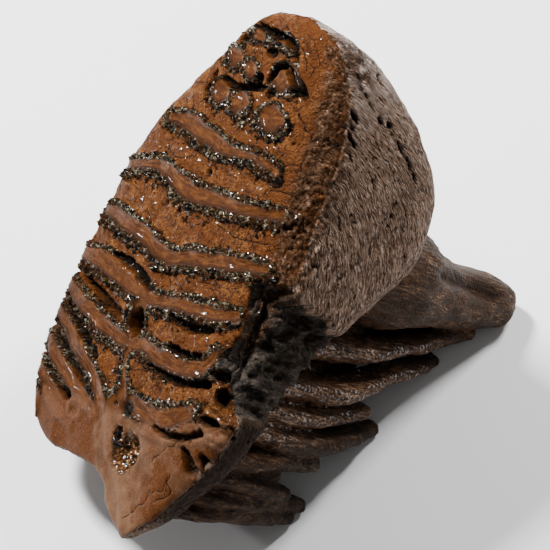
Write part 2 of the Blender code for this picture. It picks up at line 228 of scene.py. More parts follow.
# %% Tubes from cylinders
def tube(name, sides, cuts, shape):
    bpy.ops.mesh.primitive_cylinder_add(vertices=sides, radius=1.0, depth=2.0, end_fill_type="NGON")
    piece = bpy.context.object
    piece.name = name
    bpy.ops.object.mode_set(mode="EDIT")
    mesh = bmesh.from_edit_mesh(piece.data)
    for edge in mesh.edges:  # only the edges of the side, which are 2 long, are cut
        edge.select_set(abs(edge.verts[0].co.z - edge.verts[1].co.z) > 1.0)
    bmesh.update_edit_mesh(piece.data)
    bpy.ops.mesh.subdivide_edgering(number_cuts=cuts, interpolation="LINEAR", smoothness=0.0)
    bpy.ops.object.mode_set(mode="OBJECT")
    points = np.empty(len(piece.data.vertices) * 3)
    piece.data.vertices.foreach_get("co", points)
    x, y, z = points.reshape(-1, 3).T
    piece.data.vertices.foreach_set("co", shape((z + 1) / 2, np.arctan2(y, x)).ravel())
    piece.data.update()
    bpy.ops.object.mode_set(mode="EDIT")
    bpy.ops.mesh.select_all(action="SELECT")
    bpy.ops.mesh.normals_make_consistent(inside=False)
    bpy.ops.object.mode_set(mode="OBJECT")
    piece.select_set(False)
    return piece


def tubes(tables, sides, cuts_per_row=16):
    return [tube(name, sides, cuts_per_row * len(line), root_shape(line)) for name, line in tables.items()]


crown_parts = [tube("crown", sides=96, cuts=170, shape=crown_shape)]
root_parts = tubes(NEAR_ROOTS, sides=40) + tubes(FAR_ROOTS, sides=24) + tubes(WEBS, sides=24)
print(1 + len(root_parts), "tubes")

# %% [markdown]
# A real tooth is one body, so the tubes become one skin: a fine voxel remesh melts them together and
# a little smoothing softens the creases between fingers. The crown and the roots are two skins that
# overlap inside, because the crown's cement ends in a sharp lip over the roots, and because each can
# then have the detail that it needs.

# %% Two skins
def apply_all(piece):
    bpy.context.view_layer.objects.active = piece
    for modifier in list(piece.modifiers):
        bpy.ops.object.modifier_apply(modifier=modifier.name)


def melt(name, pieces, voxel, rounds):
    """Joins the pieces and gives them one smooth skin."""
    bpy.ops.object.select_all(action="DESELECT")
    for piece in pieces:
        piece.select_set(True)
    bpy.context.view_layer.objects.active = pieces[0]
    if len(pieces) > 1:
        bpy.ops.object.join()
    whole = bpy.context.object
    whole.name = whole.data.name = name
    skin = whole.modifiers.new("skin", "REMESH")
    skin.mode = "VOXEL"
    skin.voxel_size = voxel
    ease = whole.modifiers.new("ease", "SMOOTH")
    ease.factor = 0.5
    ease.iterations = rounds
    apply_all(whole)
    print(name, "skin of", len(whole.data.polygons), "faces")
    return whole


crown = melt("crown", crown_parts, voxel=0.52, rounds=12)
roots = melt("roots", root_parts, voxel=0.75, rounds=6)

# %% [markdown]
# Natural relief needs natural randomness that is the same on every run. This gradient noise works on
# whole arrays of points and takes a seed.

# %% Seeded noise
NOISE_GAIN = 1.5  # brings the sum over a cell's corners to about -1 to 1


def lattice(cell, seed):
    """A repeatable pseudo-random gradient for each whole-number cell, each part from -1 to 1."""
    n = (cell[:, 0] * 73856093) ^ (cell[:, 1] * 19349663) ^ (cell[:, 2] * 83492791) ^ (seed * 2654435761)
    n = (n ^ (n >> 13)) * 1274126177 & 0x7FFFFFFF
    m = (n ^ (n >> 11)) * 668265263 & 0x7FFFFFFF
    k = (m ^ (m >> 15)) * 374761393 & 0x7FFFFFFF
    return np.stack([n, m, k], 1) / 0x3FFFFFFF - 1.0


def noise(points, size, seed=1):
    """Smooth noise, about -1 to 1, whose lumps are size across (one number, or one for each axis)."""
    p = points / np.asarray(size, float)
    base = np.floor(p).astype(np.int64)
    f = p - base
    fade = f * f * f * (f * (f * 6 - 15) + 10)
    total = np.zeros(len(p))
    for corner in range(8):
        step = np.array([corner & 1, corner >> 1 & 1, corner >> 2])
        weight = np.prod(np.where(step, fade, 1 - fade), axis=1)
        total += weight * np.sum(lattice(base + step, seed) * (f - step), axis=1)
    return total * NOISE_GAIN


def rough(points, size, seed=1, layers=3):
    """Several layers of noise, each half the size and half the height of the one before."""
    size = np.asarray(size, float)
    return sum(noise(points, size / 2**i, seed + i) / 2**i for i in range(layers))


def ramp(low, high, value):
    """0 at low, 1 at high, smooth between; low may be the greater."""
    x = np.clip((value - low) / (high - low), 0.0, 1.0)
    return x * x * (3.0 - 2.0 * x)


print("noise at one place:", float(noise(np.full((1, 3), 0.3), 1.0)[0]))


# %% [markdown]
# Wear has cut through the enamel plates, so each shows as a long loop: hollow dentine inside, a proud
# enamel wall round it, and cement outside. All three follow from one number, the distance to the
# nearest plate's dentine.

# %% Plates and cones
# The middle line of each plate's dentine: L, W, half the dentine's thickness
PLATES = (
    ((42, -57, 1.2), (42, -47, 2.8), (44, -39, 3.0), (46, -30, 2.6), (47.5, -22, 1.8), (47, -14, 1.2),
     (48, -8, 1.6), (50, -1, 1.6)),
    ((61, -74, 1.4), (59, -63, 1.8), (58, -56, 2.0), (59, -49, 2.4), (61.5, -43, 3.0), (63.5, -36, 3.0),
     (63.7, -28, 2.6), (63.7, -14, 2.2), (63.5, -4, 2.2), (62.4, 5, 1.6)),
    ((76.5, -78, 1.8), (79, -64, 2.8), (80.5, -57, 2.8), (82, -51, 2.6), (84, -45, 2.4), (85.5, -38, 2.4),
     (84, -29, 2.5), (82.6, -18, 2.6), (81.4, -8, 2.4), (80.5, 1, 1.8), (80, 5, 1.2)),
    ((93, -82, 2.0), (94, -68, 3.4), (96, -57, 3.6), (99, -48, 2.8), (100.5, -41, 2.2), (99.5, -29, 2.2),
     (98.7, -18, 2.4), (98, -7, 2.2), (96.5, 0, 1.6)),
    ((104, -83, 1.8), (109, -72, 2.6), (112.5, -62, 2.8), (115, -52, 2.6), (116, -44, 2.2), (115.5, -37, 2.2),
     (116.5, -30, 2.6), (117.7, -22, 2.8), (117, -13, 2.8), (115, -6, 2.6), (110, -3, 1.6)),
    ((113.5, -84, 1.8), (119.5, -73, 2.4), (125, -64, 2.4), (130, -56, 2.4), (134, -51, 2.6), (138, -48, 3.5)),
    ((124, -84, 1.8), (129, -76, 2.4), (134, -67, 2.6), (138, -59, 2.8), (142, -53, 4.0)),
    ((133, -85, 1.6), (138, -78, 2.4), (144, -70, 2.8), (147, -62, 4.0)),
    ((140.5, -86, 1.0), (144.5, -81, 1.8), (149, -77, 1.2)),
    ((101, -43, 2.5), (108.5, -43.5, 4.4), (115, -43, 2.5)),
    ((116, -43, 1.8), (122, -42.5, 0.9), (126, -40.5, 0.9), (130, -39, 1.6), (134, -39, 3.0)),
    ((134, -34, 3.0), (135.5, -22, 3.2), (134, -13, 3.2), (131, -7, 2.6), (128.5, -5, 1.2)),
)
# Where a plate is worn right down, its dentine spreads into one smooth platform
PLATFORM = (
    ((137, -41, 4.0), (143, -39, 7.0), (150, -34, 11.0), (158, -28, 12.0), (166, -22, 11.0), (176, -18, 10.0)),
    ((142, -52, 4.0), (148, -54, 7.0), (152, -58, 10.0), (156, -50, 9.0)),
    ((147, -24, 5.0), (150, -14, 7.0), (154, -8, 8.0), (150, -2, 6.0), (150, 6, 8.0)),
)
# Single cones, not yet worn into plates: L, W, half sizes along L and along W
CONES = (
    (9, -24, 1.6, 3.0), (9.5, -12.5, 1.5, 3.6), (17.3, -33.3, 3.2, 3.8), (20.6, -24.6, 2.8, 3.2),
    (20.5, -8, 4.6, 5.4), (30, -35, 4.0, 4.4), (31.5, -24.5, 3.6, 4.6), (34, -8.5, 4.0, 5.8),
)
# Enamel is thicker on the front side of a plate than on its back side
FRONT_WALL = 3.3
BACK_WALL = 2.4
PLATE_RIBS = (44, 61, 77, 93, 104, 114, 125, 135)  # L of the plates at the far flank
print(len(PLATES), "plates and", len(CONES), "cones")

# %% [markdown]
# One function measures how far each point is from the nearest line of a table. It also says on which
# side of the line the point is and how far along it, so that patterns can follow a plate's bends.

# %% Distance to the plates
FAR_AWAY = 99.0  # further than any line, in millimetres
NEXT_LINE = 40.0  # added between lines, so that no pattern goes on from one line to the next


def nearest_line(lines, along, across):
    """For each point: distance to the nearest line's edge, signed distance from its middle (plus is
    the front side), and how far along the lines the nearest place is."""
    nearest = np.full(along.shape, FAR_AWAY)
    middle = np.zeros(along.shape)
    run = np.zeros(along.shape)
    start = 0.0
    for table in lines:
        line = curve_through(table, np.linspace(0, 1, 6 * len(table)))
        for a, b in zip(line, line[1:]):
            span = b[:2] - a[:2]
            length = np.hypot(*span)
            dl, dw = along - a[0], across - a[1]
            t = np.clip((dl * span[0] + dw * span[1]) / length**2, 0, 1)
            apart = np.hypot(dl - t * span[0], dw - t * span[1])
            gap = apart - (a[2] + t * (b[2] - a[2]))
            closer = gap < nearest
            middle = np.where(closer, apart * np.sign(dl * span[1] - dw * span[0]), middle)
            run = np.where(closer, start + t * length, run)
            nearest = np.where(closer, gap, nearest)
            start += length
        start += NEXT_LINE
    return nearest, middle, run


def dentine_gap(along, across):
    """The same for the plates, the platform and the cones, negative inside their dentine."""
    nearest, middle, run = nearest_line(PLATES, along, across)
    flat, _, flat_run = nearest_line(PLATFORM, along, across)
    middle = np.where(flat < nearest, -1.0 * (along < 140) - 0.5, middle)
    run = np.where(flat < nearest, flat_run, run)
    nearest = np.minimum(nearest, flat)
    for l, w, half_l, half_w in CONES:
        reach = np.hypot((along - l) / half_l, (across - w) / half_w)
        gap = (reach - 1.0) * min(half_l, half_w)
        round_run = 5.0 * np.arctan2((across - w) / half_w, (along - l) / half_l) + 7.0 * l
        middle = np.where(gap < nearest, 0.5 * (along - l), middle)
        run = np.where(gap < nearest, round_run, run)
        nearest = np.minimum(nearest, gap)
    return nearest, middle, run


test_gap = dentine_gap(np.array([54.0]), np.array([-30.0]))[0]
print("midway between two plates the gap is", round(float(test_gap[0]), 1), "mm")


# %% [markdown]
# Between some plates the cement has fallen out and left crevices and holes, which the finish paints
# dark as shade. Elsewhere thin rims stand proud, where the hard wall of a plate outlasted what was beside it.

# %% Crevices, cracks and rims
# Each crevice is a line of L, W and half its width; each is cut CREVICE_DEPTH deep
CREVICE_DEPTH = 3.4
CREVICES = (
    ((90.0, -64, 0.5), (91.5, -56, 1.2), (94.5, -47, 1.4), (97.0, -42, 0.7)),
    ((100, -78, 0.4), (103.5, -68, 0.8), (106.5, -60, 0.9), (108.0, -53, 0.8)),
    ((111, -80, 0.4), (116.5, -71, 0.8), (121, -63, 0.9), (124, -57, 0.6)),
    ((121, -81, 0.5), (126, -73, 0.9), (130.5, -66, 0.9), (134, -59, 0.5)),
    ((130.5, -82, 0.5), (136, -74, 0.9), (140.5, -67, 0.7)),
    ((103.5, -27, 0.6), (104.8, -20, 1.2), (104.3, -12, 1.1), (103, -7, 0.5)),
    ((17.5, -8.5, 0.5), (20, -4.5, 1.4), (22.5, -0.5, 1.5), (24.5, 2.5, 0.6)),
    ((16, -9, 0.3), (18.5, -12.5, 0.9), (22.8, -15, 0.5)),
    ((6, -27, 0.5), (7, -22, 0.9), (8, -15, 0.8), (10, -8, 0.9), (14, -5, 0.6)),
    ((25, -16, 0.5), (26, -22, 0.9), (27, -29, 0.8), (25, -36, 0.5)),
    ((112.5, -24, 0.5), (113.4, -16, 0.8), (112.5, -9, 0.6)),
    ((120.6, -30, 0.4), (122, -22, 0.8), (122, -12, 0.8), (120, -4, 0.6)),
    ((138.5, -20, 0.4), (139.5, -12, 0.7), (137.5, -4, 0.9), (135, 1, 0.6)),
    ((24, -41, 0.4), (27, -41, 0.6), (31, -42.5, 0.7), (35, -40, 0.5)),
    ((142, -4.4, 0.5), (144.5, -2, 1.3), (147.5, 0, 1.5), (148.5, 5, 1.0), (145, 5, 1.2), (142, 2.5, 0.6)),
)
# Cracks are lines too, of L and W, all thin and shallow
CRACK = 0.16
CRACKS = (
    ((10.5, -4.5), (13, -1.5), (16.4, 0.2)),
    ((30, 2), (33, 4.5), (37.3, 7.8), (41.2, 8.2), (46, 7.1), (51, 9)),
    ((37.3, 7.8), (36.5, 10.5), (35.8, 13), (36.5, 16)),
    ((46, 7.1), (47, 3), (52, -6)), ((56, 8), (55, 2), (57, -3)),
    ((139.4, -8), (142, -9.5), (144.4, -12.9), (148.7, -16.1)),
    ((151.4, -7.9), (156.1, -9.1), (157.0, -11.5), (158.4, -12.6)),
    ((158.9, -14.4), (161, -14.5), (164.1, -17.5), (168.7, -21.9)),
    ((152.9, -8.7), (156.6, -6.3), (160.4, -10.5)),
    ((72, 3), (73, -10), (71, -20)), ((88, -30), (90, -22), (89, -12)), ((52, -40), (54, -47), (51, -54)),
)
# Soft ridges: L, W and half the width
SOFT_RIDGES = (
    ((122, -57, 0.2), (130.5, -50.5, 0.8), (137.7, -45.2, 1.2), (151.7, -36.8, 1.2), (161.6, -27, 0.8),
     (172, -22.2, 0.4)),
    ((126, -81, 0.2), (133.2, -75.2, 0.6), (137.9, -62.1, 0.8), (142.7, -50, 0.4)),
    ((136, -83, 0.2), (139.6, -80.9, 0.6), (144.4, -71, 0.8), (148.9, -60, 0.4)),
    ((140, -60.4, 0.2), (140.8, -62.6, 0.2), (143, -63.6, 0.2), (145.4, -62.4, 0.2), (146, -60, 0.2),
     (145, -57.6, 0.2), (143, -56.8, 0.2), (141, -57.8, 0.2), (140, -60.4, 0.2)),
    ((141.5, -25, 0.8), (141.0, -16, 0.9), (139.1, -7.3, 0.8), (136.5, 3, 0.6), (134.8, 11, 0.4)),
)
# Each rim is a line of L, W and half its width; each stands RIM_HEIGHT proud
RIM_HEIGHT = 1.1
RIMS = (
    ((115.6, -3.6, 0.5), (113.1, 0, 0.9), (113.5, 4.7, 1.0), (114.8, 9, 1.0), (118.5, 12, 0.9), (123.2, 12, 0.6)),
    ((127.1, -7.8, 0.4), (130.6, -2.1, 0.5), (134.1, 3.2, 0.6), (134.6, 8.1, 0.8), (131.6, 8.9, 0.7),
     (128.4, 2.3, 0.6), (126.7, -3.5, 0.5)),
    ((124, -0.6, 0.4), (127, 6.7, 0.6), (131.5, 12.0, 0.7), (135.4, 11.5, 0.6), (137, 6, 0.4)),
)
print(len(CREVICES), "crevices,", len(CRACKS), "cracks and", len(RIMS), "rims")

# %% [markdown]
# Pits are ovals. Those of the face are where cones or cement have broken out. Those of the near flank
# are small and drawn out along its fibres. The recess has a broken edge and shallow pockets.

# %% Pits and the recess
# Pits of the near flank: L, H, half sizes along and across the fibres, depth
FLANK_PITS = (
    (11.7, 8.2, 1.0, 0.6, 1.6), (13.6, 11.8, 1.2, 0.7, 1.8), (16.2, 13.6, 1.3, 0.5, 1.4),
    (18.3, 15.8, 1.2, 0.8, 2.0), (21.0, 18.6, 1.2, 0.6, 1.6), (24.3, 23.7, 1.4, 0.9, 2.4),
    (24.5, 27.6, 1.1, 1.4, 2.2), (26.0, 12.5, 2.2, 1.2, 2.2), (29.5, 13.0, 1.4, 0.8, 1.6),
    (33.0, 14.0, 2.6, 1.0, 2.4), (38.0, 15.2, 1.8, 0.6, 1.2), (26.5, 6.5, 1.5, 1.0, 1.6),
    (30.0, 35.0, 2.6, 1.0, 1.6), (34.0, 40.5, 2.4, 1.1, 2.0), (37.5, 44.0, 1.8, 0.8, 1.4),
    (43.5, 27.0, 2.0, 0.5, 1.0), (20.5, 8.0, 1.0, 0.7, 1.2), (59.0, 20.0, 2.4, 0.6, 1.0),
    (71.0, 31.0, 1.6, 0.8, 1.4), (64.0, 36.0, 1.2, 0.6, 1.0),
)
# Pits of the face: L, W, half sizes along L and along W, depth
PITS = (
    (149.8, -30, 7.6, 6.4, 3.6), (144.8, -36, 3.0, 2.4, 2.6), (136.5, -35, 3.6, 3.2, 1.0),
    (109, -43.5, 4.8, 4.2, 5.5), (23, -20, 2.4, 2.6, 2.8), (24.5, -2, 1.8, 2.6, 2.4),
    (116, 3, 3.0, 4.0, 3.5), (122.5, 6.5, 3.2, 5.0, 4.0), (130.8, 3.0, 1.9, 4.6, 3.2),
    (120, -3.5, 1.8, 3.2, 2.5), (139, -66, 2.2, 2.2, 2.0), (136, -41, 1.0, 1.0, 1.0),
    (56, -30, 1.6, 1.2, 1.6), (14, -17, 2.0, 2.6, 2.4), (27, -13, 1.6, 2.0, 2.0), (12, -32, 1.8, 2.0, 2.0),
)
# Where the cement has come off the near flank: from L to L, and the share of its thickness that is gone
RECESS, RECESS_SHARE = (84.0, 126.0), 0.55
# L and W of the broken edge above the recess
BROKEN_EDGE = ((80, 12), (84.5, 1.5), (90, 2.6), (96, 4.4), (102, 4.6), (106, 1.5), (110, -1.5), (113, -2.0),
               (118, 8), (126, 13))
BARED_PLATES = (88, 97, 104, 113, 119)  # L of the plate edges that show in the recess
# Pockets of the recess: L, H, half sizes along L and along H, depth
POCKETS = ((101, 14, 4.0, 6.5, 2.0), (92, 22, 2.2, 10.0, 1.4), (109, 22, 3.0, 7.0, 1.2), (97, 34, 2.6, 7.0, 1.2),
           (118, 16, 3.0, 6.0, 0.9))
print(len(PITS) + len(FLANK_PITS), "pits and", len(POCKETS), "pockets")

# %% [markdown]
# The carving moves each point of a skin along its normal. First come masks from 0 to 1 that say where
# each kind of surface is: the worn face, the far flank with its plate ribs, the brink between the
# face and the near flank, and the low part of the flank beside the front roots.

# %% Where the crown's surfaces lie
def read_points(piece):
    count = len(piece.data.vertices)
    points, normals = np.empty(count * 3), np.empty(count * 3)
    piece.data.vertices.foreach_get("co", points)
    piece.data.vertex_normals.foreach_get("vector", normals)
    return points.reshape(-1, 3), normals.reshape(-1, 3)


points, normals = read_points(crown)
along, deep, across = points.T
nothing = np.zeros(len(points))
up, sideways = -normals[:, 1], normals[:, 2]
face = ramp(0.05, 0.5, up) * ramp(15.0, 10.0, deep)
facing = ramp(0.0, 0.75, up) * ramp(15.0, 10.0, deep)  # the same with a wider brink, for the colours
far = ramp(0.2, 0.8, -sideways) * ramp(-45.0, -55.0, across)
shallow = ramp(40.0, 15.0, deep)
steep = ramp(-46, -70, across) * ramp(80, 95, along)  # where wear has left tall scales
rim = ramp(3, 10, across - 0.10 * abs(along - 60)) * ramp(120, 100, along)
brink = ramp(0.30, 0.60, sideways) * ramp(0.995, 0.93, sideways) * ramp(25.0, 14.0, deep) * ramp(112, 100, along)
# painted shade: the finish darkens this low part of the flank beside the front roots
shaded_low_flank = ramp(112, 124, along + 0.2 * deep) * ramp(-20, -5, across)
print("worn face:", int(face.sum()), "of", len(points), "points")

# %% [markdown]
# Near the front the cement has broken away. What it bared is a mask too, and so is the part of the
# face that went with it, past a ragged broken edge.

# %% The broken edge
ragged = 4 * noise(points, 8.0, 8) + 1.5 * noise(points, 2.5, 18)
bare = ramp(RECESS[0] - 1.5, RECESS[0] + 2.0, along - 0.26 * (deep - 5) + ragged)
bare *= ramp(RECESS[1] + 3, RECESS[1] - 3, along)
edge_l, edge_w = np.array(BROKEN_EDGE).T
past_edge = across - np.interp(along, edge_l, edge_w) + 1.2 * noise(points, 2.6, 62)
cut = ramp(-0.6, 1.0, past_edge) * ramp(20.0, 12.0, deep)
cut *= ramp(RECESS[0] - 2, RECESS[0] + 1, along) * ramp(RECESS[1] - 1, RECESS[1] - 6, along)
print("bared:", int(bare.sum()), "points")

# %% [markdown]
# The gap to the nearest dentine, divided by the enamel's thickness there, is one number for all three
# tissues: below 0 is dentine, 0 to 1 is enamel, above 1 is cement. Columns of enamel stand out of the
# wall into the cement, mostly on its front side, and the young plates of the back end are crooked.

# %% Dentine, enamel and cement
young = ramp(42, 30, along)
bend = (0.7 + 0.9 * young) * noise(points, 6.0, 2)
sway = 1.2 * young * noise(points, 5.0, 41)
gap, middle, run = dentine_gap(along + bend, across + sway)
front = np.clip(middle / 2.0, -1, 1)
run_place = run + 0.9 * noise(points, 3.0, 50)
line_place = np.stack([run_place, 0.25 * gap, nothing], 1)
columns = noise(line_place, (1.25, 7.0, 1.0), 51) + 0.6 * noise(line_place, (3.1, 9.0, 1.0), 52)
columns += 0.8 * noise(points, 1.5, 53)
frill = rough(points, 1.8, 3, 2)
front_wall = FRONT_WALL * (0.78 + 0.95 * ramp(0.05, 0.8, columns))
back_wall = BACK_WALL * (0.85 + 0.35 * ramp(0.1, 0.8, columns))
wall = (1 + 0.25 * noise(points, 8.0, 54)) * (1 - 0.35 * young) * np.where(front > 0, front_wall, back_wall)
in_wall = gap / wall + 0.26 * frill * ramp(0.15, 1.0, gap)
print("enamel is up to", round(float(wall.max()), 1), "mm thick where its columns stand out")

# %% [markdown]
# At the front tip the plates are worn right through and their dentine has run together. A mask says
# where this platform is, and there the number for the wall is pulled down to dentine.

# %% The worn platform
platform = ramp(131, 139, along + 0.15 * abs(across + 30))
platform *= ramp(142, 146, along + 0.9 * np.clip(across + 12, 0, 30) + 6)
platform = np.maximum(platform, ramp(146, 150, along - 0.10 * (across + 30)))
platform *= 1 - ramp(-78, -81, across) * ramp(152, 149, along)
in_wall = np.where(platform > 0.5, np.minimum(in_wall, 3.0 - 4.0 * platform), in_wall)
print("enamel covers", int((face * (in_wall > 0) * (in_wall < 1)).sum()), "points")

# %% [markdown]
# Crevices, rims, ridges and cracks are all lines, so each is a ramp of the distance to the nearest
# line of its table. A little noise in the place makes the lines waver.

# %% Lines on the face
def line_mask(lines, low, high, sway_l, sway_w=0.0):
    """1 on the lines and 0 away from them, between the distances low and high."""
    return ramp(low, high, nearest_line(lines, along + sway_l, across + sway_w)[0])


crevice = line_mask(CREVICES, 0.9, -0.4, 0.7 * frill, 0.5 * frill)
proud = line_mask(RIMS, 1.3, -0.3, 0.3 * frill)
soft = line_mask(SOFT_RIDGES, 2.4, -0.4, 0.5 * noise(points, 6.0, 63))
thin_lines = [[(*place, CRACK) for place in line] for line in CRACKS]
crack_gap, crack_side, _ = nearest_line(thin_lines, along + 0.8 * noise(points, 3.0, 64),
                                        across + 0.8 * noise(points, 3.0, 65))
crack = ramp(0.30, 0.0, crack_gap)
print("crevices:", int((face * crevice).sum()), "points")


# %% [markdown]
# A pit is an oval with a ragged edge. Where two pits meet, the deeper one counts, so their depths are
# joined by a maximum and are not added.

# %% Pits in the face
def oval(l, w, half_l, half_w, ragged=0.0, edge=1.1, full=0.5):
    """1 inside an oval of the face, 0 outside it."""
    return ramp(edge, full, np.hypot((along - l) / half_l, (across - w) / half_w) + ragged)


ragged = 0.18 * noise(points, 3.0, 21)
pit, pit_depth = nothing, nothing
for l, w, half_l, half_w, hole in PITS:
    hollow = oval(l, w, half_l, half_w, ragged)
    pit, pit_depth = np.maximum(pit, hollow), np.maximum(pit_depth, hole * hollow)
# The first two pits are lined with crystals, and painted shade marks the wall that parts them
crystals = np.maximum(oval(*PITS[0][:4], ragged, 1.05, 0.8), oval(*PITS[1][:4], 0.0, 1.05, 0.8))
pit_wall_shade = np.hypot((along - 146.6) / 4.4, (across + 36.4 - 0.25 * (along - 146)) / 1.5)
pit_wall_shade = ramp(1.1, 0.7, pit_wall_shade + 0.2 * noise(points, 2.0, 30))
print("crystals:", int((face * crystals).sum()), "points")

# %% [markdown]
# The relief of the face is a sum in millimetres. The enamel stands proud and is crumbled, a groove
# runs along it where cement has washed out, the dentine is dished, and the lines and pits are added.

# %% Relief of the worn face
crest = ramp(-0.05, 0.12, in_wall) * ramp(1.08, 0.85, in_wall)
cement = ramp(0.95, 1.15, in_wall)
dentine = ramp(0.05, -0.15, in_wall)
groove = ramp(0.90, 1.08, in_wall) * ramp(1.55, 1.2, in_wall) * ramp(-0.1, 0.5, noise(points, 4.0, 61) + 0.3 * front)
gaps_between = ramp(0.15, -0.45, columns) * np.where(front > 0, 1.0, 0.45)
grain = rough(points, 1.2, 11, 2)
streaks = noise(np.stack([0.1 * run_place + middle, nothing, nothing], 1), (0.9, 1, 1), 71)
relief = crest * (0.50 - 0.8 * gaps_between + 0.75 * grain + 0.7 * rough(points, 1.3, 66, 2)) - 0.8 * groove
relief -= dentine * (0.30 * ramp(0.0, -1.2, gap) - 0.10 * streaks)
relief += cement * (0.30 * rough(points, 5.0, 31, 2) + 0.10 * grain * (1 + 4.0 * rim) - 0.25)
relief += 0.55 * rough(points, 5.0, 33, 3) * rim
relief += steep * (1 - platform) * (0.9 * dentine - 1.7 * cement * ramp(1.0, 2.2, in_wall))
relief += RIM_HEIGHT * proud * (1 - crevice) - CREVICE_DEPTH * crevice - pit_depth * (1 + 0.35 * grain)
relief += 0.75 * soft - 0.3 * crack + crystals * (1.3 * rough(points, 1.5, 67, 2) + 0.2)
relief -= cut * (1.0 + 0.42 * np.clip(past_edge, 0, 9)) * (1 + 0.5 * rough(points, 4.0, 68, 2))
print("face relief from", round(float(relief.min()), 1), "to", round(float(relief.max()), 1), "mm")


# %% [markdown]
# The cement of the flanks is fibrous. Its fibres lean 20 degrees from the length of the crown, and 62
# near the back end. Following that lean gives every point a number that is the same all along a
# fibre, which both the threads here and the finish later use.

# %% Fibres
def fibre_lean(l):
    return np.radians(20.0 + 42.0 * ramp(75.0, 5.0, l))


line_l, step_l = np.linspace(-10.0, 190.0, 801, retstep=True)
line_h = np.cumsum(np.tan(fibre_lean(line_l))) * step_l
strand = (deep - np.interp(along, line_l, line_h)) * np.cos(fibre_lean(along))
lengthwise = along + 0.5 * deep
print("strands are numbered over", round(float(np.ptp(strand))), "mm")

# %% [markdown]
# The flanks get threads along those fibres, soft waves and small holes, and the far one gets the ribs
# of the plates. All are millimetres along the normal, added to the relief of the face.

# %% Relief of the flanks
flank = (1 - face) * (1 - 0.5 * far)
ribs = sum(np.exp(-((along - 0.04 * deep - at) / 2.8) ** 2) for at in PLATE_RIBS)
thread = noise(np.stack([lengthwise, strand, across], 1), (5.0, 1.3, 2.2), 28)
holes = ramp(0.45, 0.75, noise(points, 2.2, 23)) * ramp(-0.1, 0.5, noise(points, 17.0, 24))
shift = face * relief + 0.6 * rough(points, 16.0, 5, 2) + 0.5 * brink * rough(points, 2.4, 34, 3)
shift += far * (1 - face) * shallow * (2.4 * ribs - 0.9 + 0.3 * rough(points, (4.5, 1.5, 1.5), 7, 3))
shift += flank * (0.22 * thread + 0.35 * rough(points, (9.0, 5.0, 4.0), 13, 2) - 1.1 * holes)
ragged = 0.45 * noise(points, 1.6, 29)
flank_pit = nothing
for l, h, half_l, half_h, hole in FLANK_PITS:
    dl, dh, turn = along - l, deep - h, float(fibre_lean(l))
    length, width = dl * math.cos(turn) + dh * math.sin(turn), dh * math.cos(turn) - dl * math.sin(turn)
    reach = np.hypot(length / (1.4 * half_l), width / (0.85 * half_h)) + ragged
    flank_pit = np.maximum(flank_pit, hole * ramp(1.1, 0.4, reach))
flank_pit *= (1 - face) * ramp(-5.0, 3.0, across)
shift -= 0.7 * flank_pit
print("flank pits:", int((flank_pit > 0.5).sum()), "points")

# %% [markdown]
# In the recess the broken ends of the plates show as low ridges between shallow pockets.

# %% Relief of the bared recess
bared_relief = 0.9 * rough(points, (3.0, 6.0, 3.0), 15, 3) + 0.35 * rough(points, (1.4, 3.0, 1.4), 16, 2)
plate_edges = sum(np.exp(-((along - 0.20 * deep + 0.8 * frill - at) / 1.1) ** 2) for at in BARED_PLATES)
bared_relief += 1.2 * plate_edges * ramp(-0.3, 0.2, noise(points, (8.0, 12.0, 8.0), 26) + 0.1)
shift += bare * flank * bared_relief
ragged = 0.2 * noise(points, 4.0, 27)
pocket = nothing
for l, h, half_l, half_h, hole in POCKETS:
    reach = np.hypot((along - 0.2 * (deep - h) - l) / half_l, (deep - h) / half_h) + ragged
    pocket = np.maximum(pocket, hole * ramp(1.1, 0.6, reach))
pocket *= ramp(0.0, 4.0, across) * (1 - face)
gone = bare * RECESS_SHARE * np.clip(across - 1.0, 0.0, None) * (1.0 + 0.3 * rough(points, 6.0, 9))
print("the recess is up to", round(float(gone.max()), 1), "mm deep")

# %% [markdown]
# The crown's points are moved, and what the finish will need is stored on them as named fields.

# %% Carving the crown
def keep_fields(piece, fields):
    """Stores numbers for each point of the skin, for the finish to read."""
    for name, values in fields.items():
        layer = piece.data.attributes.new(name, "FLOAT", "POINT")
        layer.data.foreach_set("value", np.ascontiguousarray(values, dtype=np.float32))
    piece.data.update()


moved = points + normals * (shift - pocket)[:, None]
moved[:, 2] -= gone
crown.data.vertices.foreach_set("co", moved.ravel())
# The finish paints the hollows of the face, and the holes, pockets and pits of the flanks, near black as painted
# shade.
hollow = np.maximum.reduce([pit * (1 - crystals), crevice, pit_wall_shade])
CROWN_FIELDS = {
    "wall": in_wall, "gap": gap, "middle": middle, "run": run, "columns": columns, "face": face * (1 - cut),
    "facing": facing * (1 - cut), "platform": platform * face, "hollow": hollow * face,
    "rim": rim * ramp(12.0, 5.0, deep), "groove": groove * face, "soft": soft * face,
    "bare": np.maximum(bare * ramp(0.5, 3.0, across), cut), "crystals": crystals * face,
    "holes": np.clip(holes * flank + 0.2 * pocket + 0.8 * flank_pit, 0, 1), "low": shaded_low_flank * (1 - face),
    "brink": brink, "crack_side": crack_side, "crack_near": ramp(1.5, 0.7, crack_gap) * face,
    "across": across, "lengthwise": lengthwise, "strand": strand,
}
keep_fields(crown, CROWN_FIELDS)
print("carved", len(points), "points of the crown")
